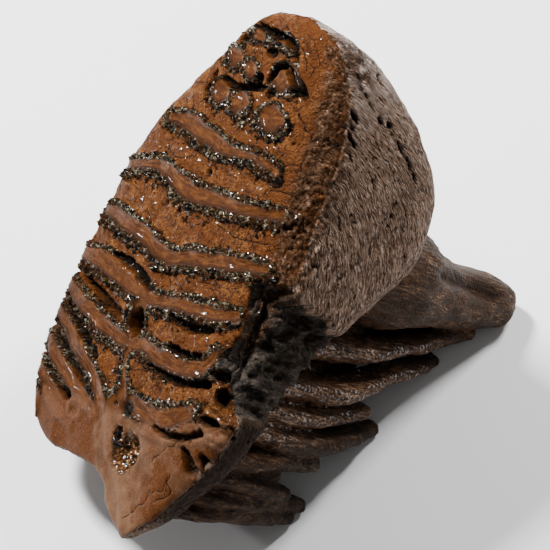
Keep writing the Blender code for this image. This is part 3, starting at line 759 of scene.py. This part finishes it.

# %% [markdown]
# The roots are fluted and stringy along their length, and the big back root has one deep furrow. Two
# fields say where the roots get painted shade (hidden between the fingers, in the furrow and on the low front
# fingers), and where they are dull.

# %% Carving the roots
points, normals = read_points(roots)
along, deep, across = points.T
strings = 0.40 * rough(points, (1.7, 30.0, 2.2), 17, 3) + 0.8 * noise(points, (4.5, 60.0, 9.0), 25)
knots = 0.40 * rough(points, (6.0, 14.0, 6.0), 19, 2)
furrow = np.exp(-(((along - 63.5) / 2.6) ** 2)) * ramp(78, 92, deep) * ramp(133, 122, deep)
furrow *= ramp(0.0, 0.5, normals[:, 2])
shift = strings + knots - 2.4 * furrow
roots.data.vertices.foreach_set("co", (points + normals * shift[:, None]).ravel())
# painted shade: the field is 1 between the near and far fingers, in the back root's furrow and on the low front
# fingers
inner = ramp(-15, -25, across) * ramp(-60, -48, across)
low = ramp(118, 135, along + 0.35 * deep - 20) * ramp(-40, -20, across)
keep_fields(roots, {"dull": ramp(92, 80, along), "inner": np.clip(inner + 0.7 * furrow + 0.8 * low, 0, 1)})
print("carved", len(points), "points of the roots")

# %% [markdown]
# The carved skins have far more faces than their flat places need. Decimating keeps them where the
# relief is, and the whole is then laid down the way it rests, in metres, with worn root ends flat on
# the ground.

# %% Fewer faces, and at rest
SKIN_MARGIN = 1e-4  # the skins stay this far inside the packed solid's box, in metres


def finish_skin(piece, triangles):
    piece.data.calc_loop_triangles()
    before = len(piece.data.loop_triangles)
    if before > triangles:
        fewer = piece.modifiers.new("fewer", "DECIMATE")
        fewer.ratio = triangles / before
        apply_all(piece)
    piece.data.transform(LAY_DOWN)
    corners = np.empty(len(piece.data.vertices) * 3)
    piece.data.vertices.foreach_get("co", corners)
    for axis in range(3):
        low = cad_box[0][axis] + (SKIN_MARGIN if axis < 2 else 0.0)  # the roots do reach the floor
        corners[axis::3] = np.clip(corners[axis::3], low, cad_box[1][axis] - SKIN_MARGIN)
    piece.data.vertices.foreach_set("co", corners)
    piece.data.update()
    bpy.ops.object.select_all(action="DESELECT")
    piece.select_set(True)
    bpy.context.view_layer.objects.active = piece
    bpy.ops.object.shade_smooth()
    print(piece.name, before, "->", len(piece.data.polygons), "faces")


finish_skin(crown, triangles=196000)
finish_skin(roots, triangles=180000)

# %% [markdown]
# Both finishes need the same mineral grain at different sizes, so the grain is one node group: it
# takes a place in millimetres and the size of a lump along L, H and W.

# %% Mineral grain
def grain_group():
    group = bpy.data.node_groups.new("mineral_grain", "ShaderNodeTree")
    for name, kind in (("Place", "NodeSocketVector"), ("Lump", "NodeSocketVector"),
                       ("Detail", "NodeSocketFloat"), ("Roughness", "NodeSocketFloat")):
        group.interface.new_socket(name, in_out="INPUT", socket_type=kind)
    group.interface.new_socket("Grain", in_out="OUTPUT", socket_type="NodeSocketFloat")
    start = group.nodes.new("NodeGroupInput")
    end = group.nodes.new("NodeGroupOutput")
    divide = group.nodes.new("ShaderNodeVectorMath")
    divide.operation = "DIVIDE"
    cloud = group.nodes.new("ShaderNodeTexNoise")
    cloud.inputs["Scale"].default_value = 1.0
    link = group.links.new
    link(start.outputs["Place"], divide.inputs[0])
    link(start.outputs["Lump"], divide.inputs[1])
    link(divide.outputs[0], cloud.inputs["Vector"])
    link(start.outputs["Detail"], cloud.inputs["Detail"])
    link(start.outputs["Roughness"], cloud.inputs["Roughness"])
    link(cloud.outputs["Fac"], end.inputs["Grain"])
    return group


GRAIN = grain_group()
print("built", GRAIN.name)

# %% [markdown]
# A finish is built up in layers, as a painter glazes: a colour from a ramp first, and then one tone
# after another, each only where its mask lets it through. Short helpers keep that readable.

# %% A helper for finishes
class Finish:
    """A material under construction, with short ways to add the nodes that this tooth needs."""

    def __init__(self, name):
        self.material = bpy.data.materials.new(name)
        self.material.use_nodes = True
        self.tree = self.material.node_tree
        self.shader = self.tree.nodes["Principled BSDF"]
        coords = self.node("TexCoord")
        turn = self.node("Mapping")
        turn.inputs["Rotation"].default_value = REST.transposed().to_euler()
        turn.inputs["Scale"].default_value = (1 / MM,) * 3
        self.tree.links.new(coords.outputs["Object"], turn.inputs["Vector"])
        self.place = turn.outputs["Vector"]  # L, H and W in millimetres, from the tooth's resting place

    def node(self, kind, **settings):
        node = self.tree.nodes.new("ShaderNode" + kind)
        for name, value in settings.items():
            setattr(node, name, value)
        return node

    def feed(self, socket, value):
        if isinstance(value, tuple):
            socket.default_value = (*value, 1.0)
        elif isinstance(value, (int, float)):
            socket.default_value = value
        else:
            self.tree.links.new(value, socket)

    def set(self, **values):
        """Feeds the shader's own sockets, with _ for a space in a socket's name."""
        for name, value in values.items():
            self.feed(self.shader.inputs[name.replace("_", " ")], value)

    def field(self, name):
        return self.node("Attribute", attribute_name=name).outputs["Fac"]

    def maths(self, operation, first, *others):
        for other in others:
            node = self.node("Math", operation=operation)
            self.feed(node.inputs[0], first)
            self.feed(node.inputs[1], other)
            first = node.outputs[0]
        return first

    def times(self, *values):
        return self.maths("MULTIPLY", *values)

    def plus(self, *values):
        return self.maths("ADD", *values)

    def step(self, value, low, high):
        """0 at low, 1 at high, smooth between."""
        node = self.node("MapRange", interpolation_type="SMOOTHSTEP")
        self.feed(node.inputs["Value"], value)
        flip = low > high
        node.inputs["From Min"].default_value = high if flip else low
        node.inputs["From Max"].default_value = low if flip else high
        node.inputs["To Min"].default_value = 1.0 if flip else 0.0
        node.inputs["To Max"].default_value = 0.0 if flip else 1.0
        return node.outputs["Result"]

    def blend(self, mask, a, b):
        """The colour a where the mask is 0, b where it is 1."""
        node = self.node("Mix", data_type="RGBA")
        for socket, value in zip((node.inputs[0], node.inputs[6], node.inputs[7]), (mask, a, b)):
            self.feed(socket, value)
        return node.outputs[2]

    def between(self, mask, a, b):
        """The value a where the mask is 0, b where it is 1."""
        node = self.node("Mix")
        for socket, value in zip((node.inputs[0], node.inputs[2], node.inputs[3]), (mask, a, b)):
            self.feed(socket, value)
        return node.outputs[0]

    def layers(self, colour, *coats):
        """Lays coats over a colour: each is a mask, a second mask or an amount, and a tone."""
        for mask, amount, tone in coats:
            colour = self.blend(self.times(mask, amount), colour, tone)
        return colour

    def colours(self, value, *stops):
        node = self.node("ValToRGB")
        self.tree.links.new(value, node.inputs[0])
        elements = node.color_ramp.elements
        while len(elements) < len(stops):
            elements.new(0.5)
        for element, (place, colour) in zip(elements, stops):
            element.position = place
            element.color = (*colour, 1.0)
        return node.outputs[0]

    def grain(self, size, detail=3.0, roughness=0.6, stretch=(1, 1, 1), place=None):
        """Mineral grain with lumps about size millimetres across, stretched along L, H and W."""
        node = self.node("Group", node_tree=GRAIN)
        self.tree.links.new(place or self.place, node.inputs["Place"])
        node.inputs["Lump"].default_value = [size * s for s in stretch]
        node.inputs["Detail"].default_value = detail
        node.inputs["Roughness"].default_value = roughness
        return node.outputs["Grain"]

    def voronoi(self, place, size, feature="F1"):
        node = self.node("TexVoronoi", feature=feature)
        node.inputs["Scale"].default_value = 1.0 / size
        self.tree.links.new(place, node.inputs["Vector"])
        return node

    def crumbs(self, place, size):
        """Crumbs about size across: how far from a crumb's middle, and a shade for each crumb."""
        node = self.voronoi(place, size)
        return node.outputs["Distance"], node.outputs["Color"]

    def mosaic(self, size, bend):
        """Distance to the edges of cells about size millimetres across, bent by a grain."""
        add = self.node("VectorMath", operation="MULTIPLY_ADD")
        self.tree.links.new(bend, add.inputs[0])
        add.inputs[1].default_value = (size * 0.6,) * 3
        self.tree.links.new(self.place, add.inputs[2])
        return self.voronoi(add.outputs[0], size, "DISTANCE_TO_EDGE").outputs["Distance"]

    def vector(self, x, y, z):
        node = self.node("CombineXYZ")
        for socket, value in zip(node.inputs, (x, y, z)):
            self.feed(socket, value)
        return node.outputs[0]

    def bump(self, height, depth_mm):
        node = self.node("Bump")
        node.inputs["Strength"].default_value = 1.0
        node.inputs["Distance"].default_value = depth_mm * MM
        self.tree.links.new(height, node.inputs["Height"])
        self.tree.links.new(node.outputs["Normal"], self.shader.inputs["Normal"])

    def dress(self, piece):
        piece.data.materials.clear()
        piece.data.materials.append(self.material)
        print(piece.name, "wears", self.material.name, "with", len(self.tree.nodes), "nodes")


print("a finish has", sum(not name.startswith("_") for name in vars(Finish)), "helpers")

# %% [markdown]
# The whole crown has one finish, because its tissues grade into each other. Its patterns come first:
# grain at four sizes, stripes that run along each plate's dentine, and crumbs of enamel. The stripes
# and crumbs are placed by the stored fields, so they follow the plates round every bend.

# %% Patterns of the crown
f = Finish("worn_crown")
on = {name: f.field(name) for name in CROWN_FIELDS}
speckle = f.grain(0.4, 2.0, 0.7)
fine = f.grain(0.7, 4.0, 0.68)
medium = f.grain(3.0)
broad = f.grain(16.0)
along_plate = f.vector(f.times(on["middle"], 1.1), f.times(on["run"], 0.22), f.times(medium, 2.5))
stripes = f.grain(1.0, 2.0, 0.55, place=along_plate)
across_wall = f.vector(f.plus(on["run"], f.times(medium, 4.0)), f.times(on["gap"], 0.75), f.times(f.grain(2.0), 3.0))
crumb_gap, shade = f.crumbs(across_wall, 0.70)
wobble = f.plus(on["wall"], f.times(f.plus(fine, -0.5), 0.7), f.times(f.plus(shade, -0.5), 0.45))
smooth_dentine = f.step(wobble, 0.25, -0.1)
enamel = f.times(f.step(wobble, -0.06, 0.08), f.step(wobble, 1.12, 0.98))
print(len(on), "fields and", len(f.tree.nodes), "nodes so far")

# %% [markdown]
# Dentine is smooth brown with long streaks, with painted shade along the front edge of each plate.
# Cement is a brighter orange-brown with pits, pale grains and dark cracks, and it darkens towards the near rim.

# %% Dentine and cement
DENTINE = ((0.28, (0.024, 0.0066, 0.0012)), (0.43, (0.048, 0.0142, 0.0027)), (0.58, (0.074, 0.0245, 0.0052)),
           (0.76, (0.115, 0.043, 0.0110)))
CEMENT = ((0.32, (0.034, 0.0095, 0.0018)), (0.50, (0.080, 0.0245, 0.0048)), (0.68, (0.140, 0.052, 0.0130)))

# painted shade along the front edge of each plate's dentine
front_edge_shade = f.times(f.step(on["middle"], 0.3, 1.0), f.step(on["gap"], -1.5, -0.7))
dentine_colour = f.layers(
    f.colours(stripes, *DENTINE),
    (front_edge_shade, 0.8, (0.016, 0.0046, 0.0009)),
    (f.step(f.grain(4.0), 0.50, 0.38), 0.5, (0.030, 0.0085, 0.0014)),
)
crazed = f.step(f.mosaic(7.0, medium), 0.022, 0.008)
cement_colour = f.layers(
    f.colours(medium, *CEMENT),
    (f.step(speckle, 0.50, 0.38), 0.80, (0.034, 0.0100, 0.0022)),
    (f.step(speckle, 0.58, 0.68), 0.60, (0.28, 0.125, 0.042)),
    (f.step(fine, 0.45, 0.36), 0.88, (0.012, 0.0040, 0.0012)),
    (f.step(broad, 0.52, 0.36), 0.7, (0.060, 0.016, 0.0022)),
    (crazed, f.step(f.grain(9.0), 0.42, 0.55), (0.004, 0.002, 0.001)),
    (on["rim"], f.step(f.grain(5.0), 0.22, 0.46), (0.027, 0.0108, 0.0042)),
    (on["rim"], f.step(f.grain(1.0, 3.0, 0.65), 0.54, 0.44), (0.0100, 0.0038, 0.0012)),
)
print("dentine and cement coloured")

# %% [markdown]
# Enamel is a crumbly band of black and pale grains, each crumb with its own shade and a dark seam
# round it. It is paler on the columns and on the back side of a plate.

# %% Enamel and crystals
ENAMEL = ((0.38, (0.0015, 0.0010, 0.0006)), (0.49, (0.012, 0.0072, 0.0030)), (0.58, (0.048, 0.034, 0.0165)),
          (0.68, (0.115, 0.092, 0.052)), (0.84, (0.38, 0.35, 0.27)))
CRYSTAL = ((0.34, (0.0050, 0.0018, 0.0005)), (0.48, (0.046, 0.0140, 0.0024)), (0.60, (0.110, 0.042, 0.0095)),
           (0.74, (0.26, 0.130, 0.045)))

pale = f.plus(f.times(shade, 0.55), f.times(fine, 0.35), f.times(f.step(on["columns"], -0.6, 0.8), 0.12),
              f.times(f.step(on["middle"], 0.5, -0.5), f.grain(7.0), 0.10))
enamel_colour = f.layers(
    f.colours(pale, *ENAMEL),
    (f.step(crumb_gap, 0.50, 0.70), 1.0, (0.0020, 0.0012, 0.0007)),
    (f.step(f.grain(1.7), 0.50, 0.60), 0.75, (0.050, 0.0145, 0.0026)),
)
facet_gap, facet = f.crumbs(f.place, 0.95)
crystal_colour = f.colours(f.plus(f.times(f.grain(1.1, 3.0, 0.7), 0.5), f.times(facet, 0.5)), *CRYSTAL)
print("enamel and crystals coloured")

# %% [markdown]
# The platform at the front tip is worn dentine, greyer and smoother, with ruddy patches towards the
# far side and paler soft ridges.

# %% Worn platform
WORN = ((0.34, (0.048, 0.0190, 0.0074)), (0.48, (0.078, 0.0345, 0.0155)), (0.60, (0.106, 0.052, 0.0270)),
        (0.76, (0.160, 0.090, 0.052)))

far_side = f.times(f.step(on["across"], -42.0, -56.0), 0.25)
ruddy = f.step(f.plus(f.grain(12.0), far_side), 0.50, 0.62)
worn_colour = f.layers(
    f.colours(f.grain(5.0, 6.0, 0.66, (1.6, 1, 1)), *WORN),
    (f.step(on["lengthwise"], 156.0, 172.0), 0.35, (0.150, 0.082, 0.046)),
    (ruddy, 0.85, (0.058, 0.0165, 0.0030)),
    (on["soft"], f.times(f.grain(4.0), 0.6), (0.115, 0.056, 0.030)),
    (f.step(fine, 0.44, 0.35), f.between(ruddy, 0.45, 0.9), (0.018, 0.0058, 0.0016)),
    (f.step(speckle, 0.60, 0.70), f.between(ruddy, 0.25, 0.6), (0.26, 0.120, 0.050)),
)
print("platform coloured")

# %% [markdown]
# The tissues are now put together by the wall number; grooves, pits and crevices get painted shade, and cracks go
# dark.

# %% The worn face
crack_line = f.times(f.step(f.maths("ABSOLUTE", on["crack_side"], 0.0), 0.26, 0.12), on["crack_near"])
on_face = f.layers(
    cement_colour,
    (f.step(wobble, 0.5, 0.4), 1.0, dentine_colour),
    (on["platform"], 1.0, worn_colour),
    (enamel, f.step(on["platform"], 0.8, 0.3), enamel_colour),
    (on["crystals"], 1.0, crystal_colour),
    (f.step(on["across"], -68.0, -84.0), f.times(f.step(medium, 0.35, 0.55), 0.55), (0.026, 0.0085, 0.0022)),
    # painted shade in the groove along the enamel, and in the pits and crevices
    (on["groove"], f.step(fine, 0.62, 0.5), (0.005, 0.003, 0.0015)),
    (on["hollow"], f.step(fine, 0.72, 0.55), (0.004, 0.0022, 0.0010)),
    (crack_line, f.step(medium, 0.36, 0.46), (0.006, 0.0030, 0.0014)),
)
print("worn face coloured")

# %% [markdown]
# The flank is grey-brown cement with short fibres and dark pores. Its back end is paler, a painted
# sheen, and its far side is painted darker and less even than the near flank, whose colour is lifted to make up for
# the shade it lies in.

# %% The flanks
FLANK = ((0.32, (0.0090, 0.0042, 0.0021)), (0.41, (0.076, 0.0390, 0.0225)), (0.50, (0.172, 0.103, 0.068)),
         (0.60, (0.280, 0.186, 0.134)), (0.74, (0.50, 0.390, 0.32)))

along_fibres = f.vector(f.plus(on["lengthwise"], f.times(medium, 3.0)), f.plus(on["strand"], f.times(medium, 2.5)),
                        on["across"])
fibres = f.grain(0.62, 2.0, 0.6, (5.5, 0.85, 1.6), place=along_fibres)
pores = f.step(f.grain(0.9, 2.0, 0.6, (2.2, 0.9, 1.2), place=along_fibres), 0.41, 0.34)
pale_hairs = f.step(f.grain(0.5, 1.0, 0.5, (6.0, 0.8, 1.6), place=along_fibres), 0.62, 0.70)
# a painted sheen: paler patches on the near side of the back end
painted_sheen = f.times(f.step(on["across"], -12.0, 3.0), f.step(medium, 0.36, 0.56), 0.60)
patchy = f.between(f.step(f.grain(20.0, 4.0, 0.6), 0.40, 0.60), 0.35, 0.80)
flank_colour = f.layers(
    f.colours(fibres, *FLANK),
    (f.step(f.grain(3.4), 0.52, 0.66), 0.35, (0.088, 0.050, 0.031)),
    (f.step(f.grain(11.0, 4.0, 0.62), 0.49, 0.60), 0.32, (0.082, 0.044, 0.027)),
    (pores, 0.9, (0.0030, 0.0014, 0.0007)),
    (pale_hairs, 0.6, (0.40, 0.33, 0.28)),
    (f.step(on["lengthwise"], 44.0, 14.0), painted_sheen, (0.40, 0.335, 0.295)),
    # the far side painted darker than the near flank, whose colour is lifted to make up for its shade
    (f.step(on["across"], -6.0, -28.0), patchy, (0.066, 0.035, 0.0195)),
    # painted shade on the low part of the flank beside the front roots
    (on["low"], 0.92, (0.0120, 0.0055, 0.0024)),
    (on["rim"], f.step(f.grain(6.0), 0.62, 0.40), (0.056, 0.022, 0.0075)),
    # painted shade in the flank's holes, pits and pockets
    (on["holes"], 1.0, (0.004, 0.002, 0.001)),
)
print("flanks coloured")

# %% [markdown]
# The bared recess is almost black, with a faint grain down its length. A grain makes the edge between
# face and flank ragged, and a scuffed brown covers the brink, so that no hard line is left there.

# %% Recess and brink
BARED = ((0.36, (0.0095, 0.0080, 0.0066)), (0.47, (0.036, 0.0290, 0.0235)), (0.57, (0.068, 0.053, 0.0415)),
         (0.74, (0.130, 0.098, 0.074)))
BRINK = ((0.36, (0.0060, 0.0026, 0.0011)), (0.46, (0.027, 0.0110, 0.0042)), (0.55, (0.062, 0.0290, 0.0130)),
         (0.66, (0.18, 0.120, 0.082)))

streaky = f.plus(f.times(f.grain(1.7, 4.0, 0.7, (1.0, 2.6, 1.0)), 0.6), f.times(fine, 0.4))
bared_colour = f.layers(f.colours(streaky, *BARED), (f.step(f.grain(7.0), 0.46, 0.62), 0.45, (0.010, 0.0084, 0.0074)))
bared_edge = f.step(f.plus(on["bare"], f.times(f.plus(fine, -0.5), 0.8)), 0.35, 0.65)
face_edge = f.step(f.plus(on["facing"], f.times(f.plus(f.grain(2.6, 4.0, 0.7), -0.5), 1.7)), 0.30, 0.42)
scuffed = f.colours(f.plus(f.times(f.grain(1.4, 4.0, 0.7), 0.6), f.times(fibres, 0.4)), *BRINK)
f.set(Base_Color=f.layers(
    flank_colour,
    (bared_edge, 1.0, bared_colour),
    # painted shade in the pockets and holes of the recess
    (on["holes"], f.times(on["bare"], 0.8), (0.0050, 0.0036, 0.0026)),
    (face_edge, 1.0, on_face),
    (on["brink"], f.times(f.step(f.grain(4.5), 0.34, 0.50), 0.85), scuffed),
))
print("crown coloured with", len(f.tree.nodes), "nodes")

# %% [markdown]
# The tooth was polished by wear and is a little glossy in places. A thin clear coat in sparse spots
# gives small sharp glints, and leaves the rest dull. It is weaker towards the far side.

# %% Gloss of the crown
sparse = f.step(f.grain(1.2, 2.0, 0.6), 0.57, 0.63)
near_side = f.between(f.step(on["across"], -58.0, -80.0), 1.0, 0.3)
polished = f.times(f.step(f.grain(3.0), 0.44, 0.54), f.between(on["platform"], 0.20, 0.06))
back_end = f.times(f.step(on["face"], 0.5, 0.2), f.step(on["lengthwise"], 46.0, 20.0))
wet = f.plus(
    f.times(on["face"], f.between(smooth_dentine, f.times(sparse, 0.5), polished)),
    f.times(on["face"], enamel, sparse, 0.8),
    f.times(on["crystals"], 0.5),
    f.times(sparse, back_end, 0.5),
    f.times(sparse, on["brink"], 0.3),
)
rough_part = f.plus(f.times(fine, 0.35), f.times(on["bare"], 0.3), 0.36)
dull_dentine = f.between(f.times(smooth_dentine, on["face"]), rough_part, 0.42)
f.set(Coat_Weight=f.times(wet, near_side), Coat_Roughness=0.06, Specular_IOR_Level=0.04, Roughness=dull_dentine)
print("crown polished")

# %% [markdown]
# Grain that is too fine for the mesh is a bump. Crumbs of enamel, pores of cement and fibres of the
# flank are each masked to their own tissue and added into one height.

# %% Bumps of the crown
rounded_crumbs = f.times(enamel, f.plus(f.times(f.step(crumb_gap, 0.75, 0.15), 0.50), f.times(fine, 0.6)))
facets = f.times(on["crystals"], facet_gap, 0.9)
crumb_height = f.times(on["face"], f.plus(rounded_crumbs, f.times(speckle, 0.16), facets))
pore_height = f.times(f.step(on["face"], 0.5, 0.9), f.grain(0.9, 2.0, 0.6), f.between(smooth_dentine, 0.75, 0.20))
fibre_height = f.times(fibres, f.step(on["face"], 0.6, 0.2), f.between(on["bare"], 2.1, 0.25))
stripe_height = f.times(stripes, smooth_dentine, 0.2)
bared_height = f.times(on["bare"], f.grain(1.8, 5.0, 0.62, (1.0, 2.2, 1.0)), 3.6)
f.bump(f.plus(crumb_height, pore_height, fibre_height, stripe_height, bared_height), depth_mm=1.0)
f.dress(crown)

# %% [markdown]
# Roots are bare dentine: darker, glossier and streaked along each finger, ruddy in patches. The back
# root is duller and greyer, and painted shade makes the hidden inner roots, the furrow and the low front fingers
# nearly black.

# %% Roots
ROOT = ((0.35, (0.0045, 0.0018, 0.0008)), (0.46, (0.043, 0.0182, 0.0078)), (0.56, (0.132, 0.067, 0.0335)),
        (0.70, (0.33, 0.215, 0.140)))

f = Finish("root_dentine")
dull, inner = f.field("dull"), f.field("inner")
strands = f.grain(0.9, 4.0, 0.68, (0.8, 6.0, 0.9))
greyed = f.times(f.step(f.grain(5.0, 3.0, 0.6, (1, 2.5, 1)), 0.62, 0.40), 0.75)
stained = f.times(f.step(f.grain(9.0, 4.0, 0.6, (1, 2.2, 1)), 0.52, 0.40), 0.45)
f.set(Base_Color=f.layers(
    f.colours(strands, *ROOT),
    (f.step(f.grain(12.0), 0.48, 0.62), 0.6, (0.040, 0.012, 0.0030)),
    (dull, greyed, (0.048, 0.030, 0.0195)),
    (dull, stained, (0.018, 0.0125, 0.0096)),
    # painted shade, nearly black, on the hidden roots, the furrow and the low front fingers
    (inner, f.between(f.step(f.grain(7.0, 3.0), 0.35, 0.60), 0.60, 0.94), (0.0060, 0.0032, 0.0018)),
))
gloss = f.times(f.step(inner, 0.9, 0.0), f.step(f.grain(1.1), 0.52, 0.62), f.between(dull, 0.9, 0.10))
f.set(Coat_Weight=gloss, Coat_Roughness=0.18, Specular_IOR_Level=0.04, Roughness=f.plus(f.times(strands, 0.4), 0.28))
f.bump(f.plus(strands, f.times(f.grain(0.9, 2.0, 0.6), 0.7)), depth_mm=1.2)
f.dress(roots)

# %% [markdown]
# Both skins ride on the fixed body and stand for the packed solid, which is hidden.

# %% Where they belong
for piece in (crown, roots):
    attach(piece, "root")
    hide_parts("mammoth_tooth")
print("crown and roots stand for mammoth_tooth")

# %% [markdown]
# The floor is plain and pale. A key light from behind on the left shapes the face, a weaker one lifts
# the shade, and a small low one makes the glints.

# %% Floor and light
bpy.ops.mesh.primitive_plane_add(size=6.0, location=(0.0, 0.0, 0.0))
floor = bpy.context.object
floor.name = "floor"
pale_floor = bpy.data.materials.new("pale_floor")
pale_floor.use_nodes = True
paint = pale_floor.node_tree.nodes["Principled BSDF"]
paint.inputs["Base Color"].default_value = (0.9, 0.9, 0.9, 1.0)
paint.inputs["Roughness"].default_value = 0.7
floor.data.materials.append(pale_floor)


def soft_light(name, place, size, power):
    """A square light aimed at the middle of the tooth."""
    bpy.ops.object.light_add(type="AREA", location=place)
    lamp = bpy.context.object
    lamp.name = name
    lamp.data.shape = "SQUARE"
    lamp.data.size = size
    lamp.data.energy = power
    lamp.rotation_euler = (Vector((0, 0, 0.05)) - Vector(place)).to_track_quat("-Z", "Y").to_euler()


soft_light("key", (-0.48, 0.40, 0.84), size=0.16, power=32.0)
soft_light("back", (0.45, 0.50, 0.75), size=0.22, power=12.0)
soft_light("glint", (-0.88, 0.28, 0.30), size=0.036, power=2.4)
world = bpy.data.worlds.new("studio")
bpy.context.scene.world = world
world.use_nodes = True
sky = world.node_tree.nodes["Background"]
sky.inputs["Color"].default_value = (1.0, 1.0, 1.0, 1.0)
sky.inputs["Strength"].default_value = 0.18

# %% [markdown]
# The visual skins were clipped to the packed solid's box when they were laid down.
